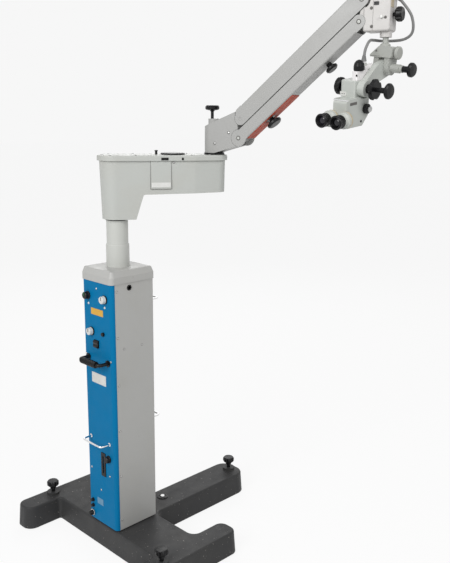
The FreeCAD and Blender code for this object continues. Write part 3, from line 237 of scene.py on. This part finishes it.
# This dark grey draws real joints and also painted shade: the dark rings round screw heads and pin caps, and
# the slide recess.
SEAM_AND_SHADE = material("Shaded joint", STOCK, shine=0.2, Base=rgb(0.13, 0.125, 0.12), Dull=rgb(0.2, 0.19, 0.18),
                Gloss_low=0.6, Gloss_high=0.8)
TYRE = material("Black tyre rubber", STOCK, shine=0.2, Base=rgb(0.012, 0.012, 0.012),
                Dull=rgb(0.03, 0.03, 0.03), Gloss_low=0.6, Gloss_high=0.8)
WHITE = material("White moulding", STOCK, Base=rgb(0.74, 0.74, 0.72), Dull=rgb(0.64, 0.64, 0.61),
                 Gloss_low=0.25, Gloss_high=0.4)
CABLE = material("Grey cable sleeve", STOCK, shine=0.35, Base=rgb(0.2, 0.2, 0.2), Dull=rgb(0.26, 0.26, 0.255),
                 Gloss_low=0.4, Gloss_high=0.6)
STRIP = material("Orange red strip", STOCK, shine=0.12, Base=rgb(0.46, 0.055, 0.02),
                 Dull=rgb(0.34, 0.05, 0.02), Gloss_low=0.3, Gloss_high=0.5)
YELLOW = material("Yellow bare plate", STOCK, Base=rgb(0.75, 0.42, 0.04), Dull=rgb(0.68, 0.36, 0.04),
                  Gloss_low=0.3, Gloss_high=0.45)
PALE_BLUE = material("Faded blue plate", STOCK, Base=rgb(0.16, 0.33, 0.47), Dull=rgb(0.1, 0.26, 0.42),
                     Gloss_low=0.3, Gloss_high=0.5)
GREEN = material("Green marker", STOCK, Base=rgb(0.02, 0.25, 0.06), Dull=rgb(0.02, 0.2, 0.05),
                 Gloss_low=0.2, Gloss_high=0.3)
GLASS = material("Coated lens", STOCK, Base=rgb(0.004, 0.004, 0.006), Dull=rgb(0.008, 0.006, 0.014),
                 Gloss_low=0.03, Gloss_high=0.06)

FINISH = {
    CASTING: ["base_casting"],
    COVER: ["column_casing", "column_cap"],
    TUBE_PAINT: ["lift_tube", "guide_collar"],
    ARM_PAINT: ["first_arm", "first_arm_lid"],
    SPRING_PAINT: ["elbow_bracket", "lower_link", "upper_link"],
    LIT_HEAD_PAINT: ["head_block"],
    BLUE: ["front_panel"],
    COUPLING_PAINT: ["coupling", "coupling_clamp"],
    SCOPE_PAINT: ["carrier_arm", "changer_body", "bino_body", "objective",
                  "eye_tube_left", "eye_tube_right"],
    LIGHT_PAINT: ["light_housing"],
    STEEL: ["column_mast", "gas_spring_cylinder", "gas_spring_rod", "power_unit", "spring_rod",
            "balance_spring", "castor_fork_left", "castor_fork_right", "castor_fork_rear"],
    CHROME: ["wire_handles"],
    TYRE: ["castor_wheel_left", "castor_wheel_right", "castor_wheel_rear"],
    WHITE: ["panel_knob_right", "panel_knob_middle"],
    CABLE: ["light_cable"],
}
for finish, names in FINISH.items():
    for name in names:
        NODES[name].data.materials.clear()
        NODES[name].data.materials.append(finish)
for name, node in NODES.items():
    if not any(name in names for names in FINISH.values()):
        node.data.materials.clear()
        node.data.materials.append(BLACK)


# Solids of the fitted trim, drawn in millimetres in the frame that a place gives

SHARP_FROM = math.radians(35)


def mesh_object(name, bm, place, finish, body):
    data = bpy.data.meshes.new(name)
    bm.normal_update()
    bm.to_mesh(data)
    bm.free()
    data.transform(Matrix.Scale(MM, 4))
    made = bpy.data.objects.new(name, data)
    bpy.context.scene.collection.objects.link(made)
    data.transform(place)
    data.materials.append(finish)
    for face in data.polygons:
        face.use_smooth = True
    data.set_sharp_from_angle(angle=SHARP_FROM)
    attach(made, body)
    return made


def aimed(origin, axis):
    tilt = Vector(UP).rotation_difference(Vector(axis))
    return Matrix.Translation(Vector(origin)) @ tilt.to_matrix().to_4x4()


def lathe_into(bm, profile, origin, axis, steps=32):
    """Adds a turned solid, its profile given as (radius, distance along the axis)."""
    place = aimed(origin, axis)
    rings = []
    for radius, height in profile:
        if radius < 1e-6:
            rings.append([bm.verts.new(place @ Vector((0, 0, height)))])
            continue
        rings.append([bm.verts.new(place @ Vector((radius * math.cos(a), radius * math.sin(a), height)))
                      for a in (2 * math.pi * i / steps for i in range(steps))])
    for low, high in zip(rings, rings[1:]):
        for i in range(steps):
            j = (i + 1) % steps
            corners = [low[i % len(low)], low[j % len(low)], high[j % len(high)], high[i % len(high)]]
            unique = [v for k, v in enumerate(corners) if v not in corners[:k]]
            if len(unique) > 2:
                bm.faces.new(unique)


def box_into(bm, low, high, bevel=0.4):
    made = bmesh.ops.create_cube(bm, size=1.0)["verts"]
    size = [h - l for l, h in zip(low, high)]
    middle = [(h + l) / 2 for l, h in zip(low, high)]
    for v in made:
        v.co = Vector([c * s + m for c, s, m in zip(v.co, size, middle)])
    edges = {e for v in made for e in v.link_edges}
    bmesh.ops.bevel(bm, geom=list(edges), offset=bevel, segments=2, affect="EDGES")


def turned(name, profile, origin, axis, place, finish, body, steps=32):
    bm = bmesh.new()
    lathe_into(bm, profile, origin, axis, steps)
    return mesh_object(name, bm, place, finish, body)


def boxed(name, low, high, place, finish, body, bevel=0.4):
    bm = bmesh.new()
    box_into(bm, low, high, bevel)
    return mesh_object(name, bm, place, finish, body)


def screws(name, spots, axis, place, body, radius=3.2, finish=None):
    """Pan heads with a driver socket, all in one mesh, each on a dark ring of painted shade that stands in
    for the recess round the head.
    """
    bm = bmesh.new()
    for spot in spots:
        lathe_into(bm, [(radius * 1.3, -0.2), (radius * 1.3, 0.25), (radius, 0.4)], spot, axis, 16)
    mesh_object(name + "_recess_shade", bm, place, SEAM_AND_SHADE, body)
    head = [(radius, -0.2), (radius, radius * 0.25), (radius * 0.75, radius * 0.5),
            (radius * 0.3, radius * 0.58), (radius * 0.3, radius * 0.2), (0, radius * 0.2)]
    bm = bmesh.new()
    for spot in spots:
        lathe_into(bm, head, spot, axis, 16)
    return mesh_object(name, bm, place, finish or STEEL, body)


# Column trim

def column_trim():
    front, side = COLUMN_FRONT, COLUMN_HALF
    boxed("yellow_plate", (-33, front - 0.9, 845), (33, front + 0.2, 867), STAND, YELLOW, "stand_base")
    boxed("label_plate", (-39, front - 0.9, 607), (39, front + 0.2, 643), STAND, WHITE, "stand_base")
    bm = bmesh.new()
    for x in (-45, 44):
        lathe_into(bm, [(4, -0.1), (4, 1.2), (3, 2.4), (0, 2.6)], (x, front, 879), (0, -1, 0), 20)
    mesh_object("panel_lenses", bm, STAND, WHITE, "stand_base")
    spots = [(x, front, z) for x, z in ((-58, 286), (46, 286), (-6, 217), (0, 935), (-68, 700), (68, 700))]
    screws("panel_screws", spots, AHEAD, STAND, "stand_base")
    fuse_cap = [(7, -0.1), (7, 3), (5.5, 4), (5.5, 9), (4.5, 10), (0, 10)]
    bm = bmesh.new()
    for z in (162, 141):
        lathe_into(bm, fuse_cap, (-55, front, z), AHEAD, 24)
    mesh_object("fuse_caps", bm, STAND, BLACK, "stand_base")
    boxed("rating_plate", (-30, front - 0.8, 158), (4, front + 0.2, 182), STAND, PALE_BLUE, "stand_base")
    edge = [(side, -68, z) for z in (934, 779, 616, 456, 292, 128)]
    screws("casing_screws_right", edge + [(side, -44, 738), (side, 31, 738)], RIGHT, STAND, "stand_base")
    screws("casing_screws_left", [(-x, y, z) for x, y, z in edge], LEFT, STAND, "stand_base")
    turned("casing_grommet", [(6, -1), (9.5, -1), (9.5, 1), (8, 2), (6, 1.5), (6, -1)], (side, -18, 941),
           RIGHT, STAND, BLACK, "stand_base")
    turned("inlet_ring", [(8.4, 2.6), (11.4, 2.6), (11.4, 3.6), (8.4, 3.6), (8.4, 2.6)], (-58, front, 112),
           AHEAD, STAND, WHITE, "stand_base")
    plug = (-5, 185, 86)
    turned("base_plug", [(20, -0.5), (20, 2.5), (17, 3.5), (14, 3.5), (13, 1.5), (0, 1.5)], plug, UP, STAND,
           BLACK, "stand_base", 40)
    turned("base_bolt", [(9, 1.4), (9, 5), (7.5, 6.5), (0, 6.8)], plug, UP, STAND, STEEL, "stand_base", 6)


def grip_rings():
    """Ribs of the black grip on the upper handle."""
    ribs, pitch, first, stand_off, height = 19, 4, -36, 38, 692
    rib = [(10.4, -1.4), (11.3, -0.8), (11.3, 0.8), (10.4, 1.4)]
    bm = bmesh.new()
    for i in range(ribs):
        lathe_into(bm, rib, (first + i * pitch, COLUMN_FRONT - stand_off, height), RIGHT, 28)
    mesh_object("handle_grip_ribs", bm, STAND, BLACK, "stand_base")


def knob_marks():
    """Pointers on the panel knobs, and black skirts round the two white ones."""
    front = COLUMN_FRONT
    for body, (x, z) in PANEL_KNOBS.items():
        finish = GREEN if body == "panel_knob_left" else BLACK
        boxed(body + "_pointer", (x - 1.2, front - 17.2, z - 1), (x + 1.2, front - 16.2, z + 11), STAND,
              finish, body)
    skirt = [(12.6, 0.5), (14.4, 0.5), (14.4, 4), (12.6, 5)]
    for body in FINISH[WHITE]:
        x, z = PANEL_KNOBS[body]
        turned(body + "_skirt", skirt, (x, front, z), AHEAD, STAND, BLACK, body)


# Arm trim

def first_arm_trim():
    top, near = LID_TOP, ARM_NEAR
    left, right, low, high, rim = 106, 173, 1256, 1348.2, 1.2
    plate = bmesh.new()
    for x0, x1, z0, z1 in ((left, right, high - rim, high), (left, right, low, low + rim),
                           (left, left + rim, low, high), (right - rim, right, low, high)):
        box_into(plate, (x0, near - 0.5, z0), (x1, near + 2, z1), 0.2)
    mesh_object("arm_plate_edge", plate, FIRST_ARM, SEAM_AND_SHADE, "first_arm")
    boxed("arm_plate", (107, near - 0.7, 1257), (172, near + 2.5, 1347.4), FIRST_ARM, ARM_PAINT,
          "first_arm", 0.3)
    boxed("arm_plate_strip", (108.5, near - 1.2, 1262), (170.5, near + 1, 1277), FIRST_ARM, WHITE,
          "first_arm", 0.3)
    screws("arm_side_screws", [(100, -53, 1351), (181, -53, 1341)], AHEAD, FIRST_ARM, "first_arm", 3.4)
    spots = [(-45, 0, top), (-20, -44, top), (-20, 44, top), (60, -52, top), (60, 52, top), (240, -52, top),
             (240, 52, top), (300, 42, top), (300, -42, top)]
    screws("lid_screws", spots, UP, FIRST_ARM, "first_arm", 3.4)
    boxed("rim_pad_long", (140, -61.5, 1348), (163, -58, 1356), FIRST_ARM, BLACK, "first_arm")
    boxed("rim_pad_short", (206, -61.5, 1348), (212, -58, 1356), FIRST_ARM, BLACK, "first_arm")
    turned("tube_wiper", [(35.9, -1), (38.4, -1), (38.8, -3.4), (36.4, -4.6), (35.9, -4.6), (35.9, -1)],
           (0, 0, 1158), UP, STAND, BLACK, "first_arm", 64)


def link_trim():
    cap = [(4.5, -0.1), (4.5, 0.9), (3.6, 1.4), (1.8, 1.4), (1.8, 0.5), (0, 0.5)]
    bm = bmesh.new()
    for x0, x1, y0, y1 in ((22, 100, -26, 26), (100, 132, -26, -15), (100, 132, 15, 26),
                           (132, 224, -26, 26)):
        box_into(bm, (x0, y0, -20.6), (x1, y1, -18.8), 0.3)
    mesh_object("underside_strip", bm, LOWER_LINK, STRIP, "lower_link")
    for name, place, body, spots in (("lower", LOWER_LINK, "lower_link", (0, LINK_LENGTH)),
                                     ("upper", UPPER_LINK, "upper_link", (LINK_LENGTH,))):
        # The dark rims round the pin caps are painted shade, standing in for the recess round each cap.
        shade_rims, caps = bmesh.new(), bmesh.new()
        for x in spots:
            for side in (-1, 1):
                start, ahead = (x, side * ARM_SIDE, 0), (0, side, 0)
                lathe_into(shade_rims, [(7.2, -0.2), (7.2, 0.5), (4.6, 0.7), (4.6, 0.1)], start, ahead, 28)
                lathe_into(caps, cap, start, ahead, 24)
        mesh_object(name + "_pin_shade_rims", shade_rims, place, SEAM_AND_SHADE, body)
        mesh_object(name + "_pin_caps", caps, place, TUBE_PAINT, body)
    screws("bracket_screws", [(71, -31, 1435), (20, -31, 1400)], AHEAD, SPRING_ARM, "elbow", 4)
    screws("head_screws", [(527.7, -31, 1786.4), (530.4, -31, 1737)], AHEAD, SPRING_ARM, "head", 3.6, SEAM_AND_SHADE)
    boxed("head_seam", (532.6, -31.2, 1728), (533.4, 31.2, 1842), SPRING_ARM, SEAM_AND_SHADE, "head", 0.1)
    turned("head_peg", [(4.6, -0.2), (4.6, 5), (3.8, 6.5), (0, 6.8)], (559, -31, 1762), AHEAD, SPRING_ARM,
           WHITE, "head", 24)
    screws("head_peg_screw", [(569.5, -31, 1760)], AHEAD, SPRING_ARM, "head", 3.2, SEAM_AND_SHADE)
    boxed("head_catch", (535, -33.5, 1794), (549, -30, 1803), SPRING_ARM, BLACK, "head")
    boxed("head_face_plate", (581.6, -25, 1787), (582.9, -2, 1822), SPRING_ARM, BRASS, "head", 0.5)


# Microscope trim

def scope_trim():
    lens_y = EYE_FACE + 7
    ridges, ridge_out, ridge = 36, 18.7, [(0.55, 0), (0.55, 12), (0, 12.4)]
    for side, body in ((-1, "eyepiece_left"), (1, "eyepiece_right")):
        x = EYE_MIDDLE + side * EYE_HALF
        turned(body + "_lens", [(10.8, 0), (9, 1.6), (5, 2.6), (0, 3)], (x, lens_y, EYE_Z), AHEAD, SCOPE,
               GLASS, body)
        turned(body + "_cup", [(14.6, -5), (18.4, -0.2), (18.6, 0.5), (17, 1.3), (14.9, 0.7), (14.6, -5)],
               (x, EYE_FACE, EYE_Z), AHEAD, SCOPE, BLACK, body, 40)
        bm = bmesh.new()
        for i in range(ridges):
            angle = math.radians(360 / ridges * i)
            out, up = ridge_out * math.cos(angle), ridge_out * math.sin(angle)
            lathe_into(bm, ridge, (x + out, EYE_FACE + 22, EYE_Z + up), AHEAD, 6)
        mesh_object(body + "_knurl", bm, SCOPE, BLACK, body)
        tube = body.replace("eyepiece", "eye_tube")
        turned(tube + "_band", [(20.9, 0), (23.3, 2), (23.3, 6), (22.9, 6), (22.9, 0)],
               (x, BINO_FRONT - 0.6, EYE_Z), AHEAD, SCOPE, BRASS, tube, 48)
    turned("objective_lens", [(22, 12), (20, 16), (12, 18.5), (0, 19.5)], (-36, SHAFT_Y + 31, SHAFT_Z), BACK,
           SCOPE, GLASS, "microscope", 40)
    boxed("scale_plate", (-59, -125.4, -67), (-38, -123.4, -55), SCOPE, WHITE, "microscope", 0.3)
    bm = bmesh.new()
    for x in (-54.5, -48.5, -42.5):
        lathe_into(bm, [(1.1, 0), (1.1, 0.5), (0, 0.6)], (x, -125.3, -61), (0, -1, 0), 14)
    mesh_object("scale_dots", bm, SCOPE, BLACK, "microscope")
    boxed("flange_edge", (-50, -167.5, -72.6), (2, -165.6, -69.4), SCOPE, CHROME, "microscope")
    # A thin dark plate as painted shade, standing in for the recess of the slide slot.
    boxed("slide_recess_shade", (1.6, -158, -86), (2.3, -126, -78), SCOPE, SEAM_AND_SHADE, "microscope", 0.3)
    screws("bino_screw", [(2, -104, -136)], RIGHT, SCOPE, "microscope", 3.2, BLACK)
    screws("housing_screw", [(-12, -114, -10)], AHEAD, SCOPE, "microscope", 2.4, BLACK)
    turned("pd_knob_cap", [(8.4, 0), (8.4, 3), (7.4, 4), (0, 4.2)], (BINO_RIGHT + 13, -86, -103), RIGHT,
           SCOPE, STEEL, "pd_knob", 28)
    turned("limb_ferrule", [(6.7, 0), (8, 0.6), (8, 7.4), (6.7, 8)], (-19, -73, 12), UP, SCOPE, TUBE_PAINT,
           "microscope", 32)
    # A black disc as painted shade, standing in for the dark inside of a hole in the coupling.
    turned("coupling_hole_shade", [(4, -0.2), (4, 0.5), (3, 0.7), (2.4, 0.2), (0, 0.1)], (-13.6, -20, 6.4), AHEAD,
           COUPLING, BLACK, "coupling", 24)
    boxed("coupling_seam", (-36, -24.25, 29.4), (2, -23.6, 30.3), COUPLING, SEAM_AND_SHADE, "coupling", 0.1)
    turned("clamp_seam", [(18.1, 2.2), (18.35, 2.4), (18.35, 3.4), (18.1, 3.6)], (34, 0, 42), RIGHT,
           COUPLING, SEAM_AND_SHADE, "coupling_clamp", 48)
    screws("coupling_screws", [(-18, -24, 44)], AHEAD, COUPLING, "coupling", 2.4, SEAM_AND_SHADE)


# Light cable, its points in millimetres: X and Y from the hanging pin, Z over the floor

CABLE_RADIUS = 4.0
CABLE_POINTS = [(-17.5, -76.0, 1641.8), (-14.6, -80.1, 1665), (-13, -70, 1686), (-22, -45, 1700),
                (-35, -10, 1703), (-34, 32, 1703), (-14, 58, 1704), (17, 69, 1706), (46, 66, 1720),
                (52, 58, 1750), (43, 48, 1784), (16.4, 23.9, 1819.5)]


def relief(name, start, ahead, finish, body):
    """Tapered sleeve with grooves, on the cable where it leaves a housing."""
    profile = [(CABLE_RADIUS + 0.1, 0), (7.4, 0), (7.4, 2)]
    for i in range(4):
        near = 7.0 - 0.6 * i
        along = 3 * i
        profile += [(near, 3 + along), (near, 4.8 + along)]
        profile += [(near - 0.9, 5 + along), (near - 0.9, 5.8 + along)]
    profile += [(CABLE_RADIUS + 0.5, 15.5), (CABLE_RADIUS + 0.1, 16)]
    return turned(name, profile, start, ahead, Matrix.Translation(HANG_POINT), finish, body)


def light_lead():
    data = bpy.data.curves.new("light_lead", "CURVE")
    data.dimensions = "3D"
    data.bevel_depth, data.bevel_resolution, data.resolution_u = CABLE_RADIUS * MM, 6, 24
    spline = data.splines.new("NURBS")
    spline.points.add(len(CABLE_POINTS) - 1)
    for point, spot in zip(spline.points, CABLE_POINTS):
        point.co = (*(HANG_POINT + Vector(spot) * MM), 1.0)
    spline.order_u = 3
    spline.use_endpoint_u = True
    lead = bpy.data.objects.new("light_lead", data)
    bpy.context.scene.collection.objects.link(lead)
    data.materials.append(CABLE)
    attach(lead, "head")
    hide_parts("light_cable")
    first, second, *_, before, last = (Vector(spot) for spot in CABLE_POINTS)
    relief("limb_relief", first, second - first, CABLE, "microscope")
    relief("head_relief", last, before - last, CABLE, "head")


light_lead()
column_trim()
grip_rings()
knob_marks()
first_arm_trim()
link_trim()
scope_trim()


# Room, light and camera

ROOM_LIGHT, ROOM_SEEN = 0.42, 0.93
FLOOR_GLOW, FLOOR_SHARE = 1.02, 0.86
CAMERA_SPOT = (1.9681, -1.4752, 1.5)
CAMERA_YAW, CAMERA_PITCH, CAMERA_ROLL = 44.85, 12.77, 0.49
FOCAL_PIXELS, PHOTO_HEIGHT, SENSOR = 748.89, 563, 36


def whiter_when_seen(made, share):
    """A mix for what the camera, gloss and glass see of the room, while its light stays as it is."""
    nodes, links = made.nodes, made.links
    path = nodes.new("ShaderNodeLightPath")
    rays = path.outputs["Is Camera Ray"]
    for label in ("Is Glossy Ray", "Is Transmission Ray"):
        either = nodes.new("ShaderNodeMath")
        either.operation = "MAXIMUM"
        links.new(rays, either.inputs[0])
        links.new(path.outputs[label], either.inputs[1])
        rays = either.outputs[0]
    part = nodes.new("ShaderNodeMath")
    part.operation = "MULTIPLY"
    part.inputs[1].default_value = share
    links.new(rays, part.inputs[0])
    blend = nodes.new("ShaderNodeMixShader")
    links.new(part.outputs[0], blend.inputs[0])
    return blend


def room():
    bpy.ops.mesh.primitive_plane_add(size=60, location=(0, 0, CAD_LOW.z))
    floor = bpy.context.object
    floor.name = "floor"
    made = bpy.data.materials.new("Pale floor")
    made.use_nodes = True
    nodes, links = made.node_tree.nodes, made.node_tree.links
    shader = nodes["Principled BSDF"]
    shader.inputs["Base Color"].default_value = (0.86, 0.86, 0.86, 1)
    shader.inputs["Roughness"].default_value = 0.9
    shader.inputs["Specular IOR Level"].default_value = 0.0
    blend = whiter_when_seen(made.node_tree, FLOOR_SHARE)
    glow = nodes.new("ShaderNodeEmission")
    glow.inputs["Strength"].default_value = FLOOR_GLOW
    links.new(shader.outputs[0], blend.inputs[1])
    links.new(glow.outputs[0], blend.inputs[2])
    links.new(blend.outputs[0], nodes["Material Output"].inputs["Surface"])
    floor.data.materials.append(made)
    world = bpy.data.worlds.new("Pale room")
    bpy.context.scene.world = world
    world.use_nodes = True
    nodes, links = world.node_tree.nodes, world.node_tree.links
    back = nodes["Background"]
    back.inputs["Color"].default_value = (0.95, 0.95, 0.95, 1)
    back.inputs["Strength"].default_value = ROOM_LIGHT
    blend = whiter_when_seen(world.node_tree, 1.0)
    seen = nodes.new("ShaderNodeBackground")
    seen.inputs["Color"].default_value = (1, 1, 1, 1)
    seen.inputs["Strength"].default_value = ROOM_SEEN
    links.new(back.outputs[0], blend.inputs[1])
    links.new(seen.outputs[0], blend.inputs[2])
    links.new(blend.outputs[0], nodes["World Output"].inputs["Surface"])


def lamp(name, spot, target, size, watts):
    data = bpy.data.lights.new(name, "AREA")
    data.size, data.energy = size, watts
    made = bpy.data.objects.new(name, data)
    bpy.context.scene.collection.objects.link(made)
    made.location = spot
    made.rotation_mode = "QUATERNION"
    made.rotation_quaternion = (Vector(target) - Vector(spot)).to_track_quat("-Z", "Y")


def camera():
    yaw, pitch, roll = (math.radians(a) for a in (CAMERA_YAW, CAMERA_PITCH, CAMERA_ROLL))
    ahead = Vector((-math.sin(yaw), math.cos(yaw), 0))
    right = Vector((math.cos(yaw), math.sin(yaw), 0))
    up = Vector((0, 0, 1))
    forward = ahead * math.cos(pitch) - up * math.sin(pitch)
    above = up * math.cos(pitch) + ahead * math.sin(pitch)
    side = right * math.cos(roll) + above * math.sin(roll)
    top = above * math.cos(roll) - right * math.sin(roll)
    data = bpy.data.cameras.new("camera")
    data.lens = FOCAL_PIXELS * SENSOR / PHOTO_HEIGHT
    data.clip_end = 100
    made = bpy.data.objects.new("camera", data)
    bpy.context.scene.collection.objects.link(made)
    made.matrix_world = Matrix((side, top, -forward)).transposed().to_4x4()
    made.location = CAMERA_SPOT
    bpy.context.scene.camera = made


room()
lamp("key", (0.9, -3.6, 3.0), (0.2, 0.1, 1.0), 2.2, 94)
lamp("fill", (2.2, -0.2, 2.6), (0.6, 0.35, 1.6), 1.2, 17)
lamp("back", (-2.4, 2.6, 3.0), (0.2, 0.1, 1.0), 2.5, 30)
camera()
bpy.context.scene.view_settings.view_transform = "Standard"
